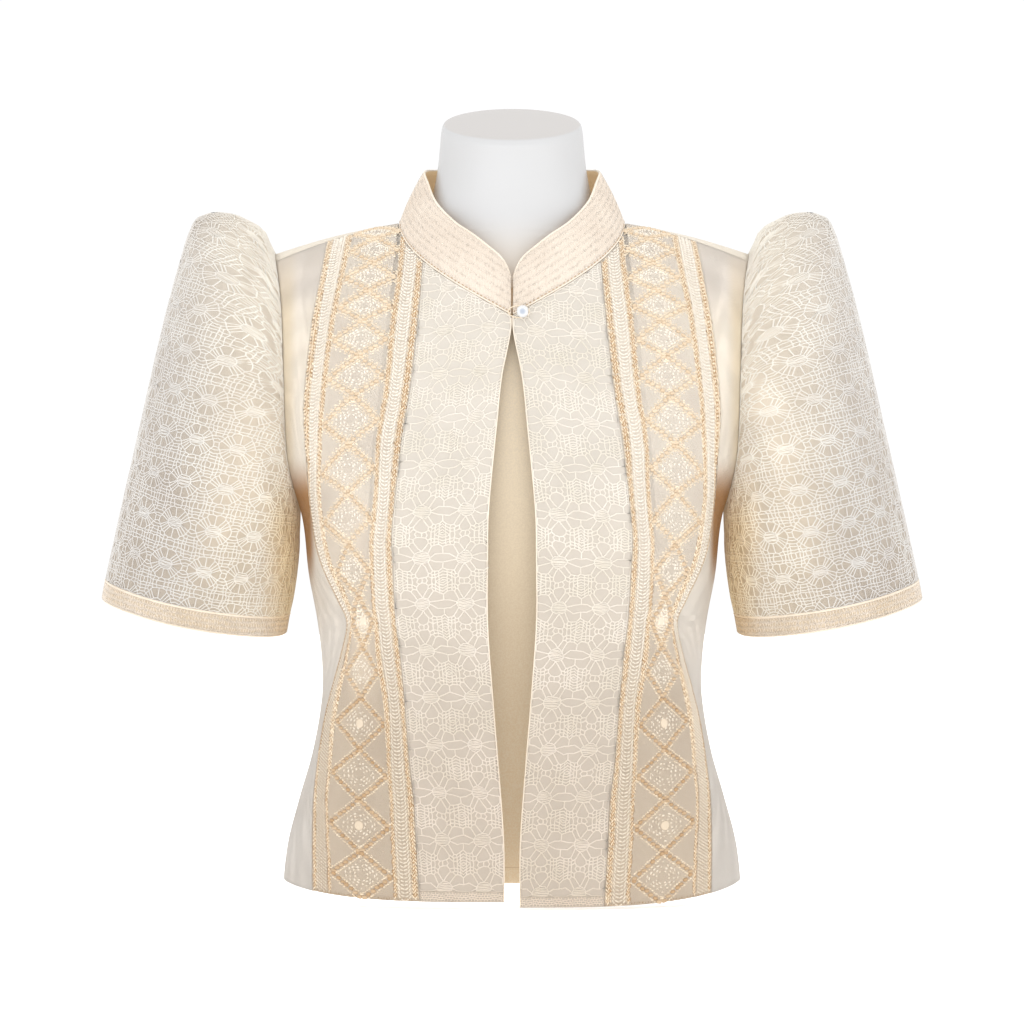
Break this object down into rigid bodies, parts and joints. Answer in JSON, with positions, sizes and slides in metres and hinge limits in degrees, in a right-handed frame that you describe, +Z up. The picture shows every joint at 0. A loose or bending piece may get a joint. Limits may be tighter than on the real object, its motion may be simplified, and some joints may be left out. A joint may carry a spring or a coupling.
{
  "type": "barong blouse on a limbless dress form",
  "caption": "Open-front lace bolero with a stand collar, raised butterfly sleeves and embroidered bands, worn by a white limbless dress form that stands on its flat base.",
  "frame": {"origin": "floor level under the dress form's base, midway between the blouse's foremost and rearmost cloth and on its centre line", "axes": "+Z up, +X towards the wearer's left sleeve, -Y out of the front opening"},
  "size_m": [0.614, 0.2146, 0.596],
  "materials": {
    "lace": "matte cream net with raised threads and drawn holes",
    "lace_edging": "matte cream fine lace, crinkled",
    "embroidered_band": "taupe net worked with satin diamonds, ropes and white ribs in soft sheen thread",
    "plain_cloth": "smooth cream organza with a faint crosswise sheen",
    "pearl": "pearl gloss",
    "loop_thread": "twisted thread",
    "form_plastic": "smooth white satin plastic"
  },
  "bodies": {
    "root": {"lace_front_left": "lace", "trim_band_left": "embroidered_band", "side_front_left": "plain_cloth", "sleeve_left": "lace", "sleeve_hem_left": "lace_edging", "lace_front_right": "lace", "trim_band_right": "embroidered_band", "side_front_right": "plain_cloth", "sleeve_right": "lace", "sleeve_hem_right": "lace_edging", "back_panel": "plain_cloth", "collar": "lace_edging", "pearl_button": "pearl", "button_loop": "loop_thread", "dress_form": "form_plastic"}
  },
  "joints": []
}
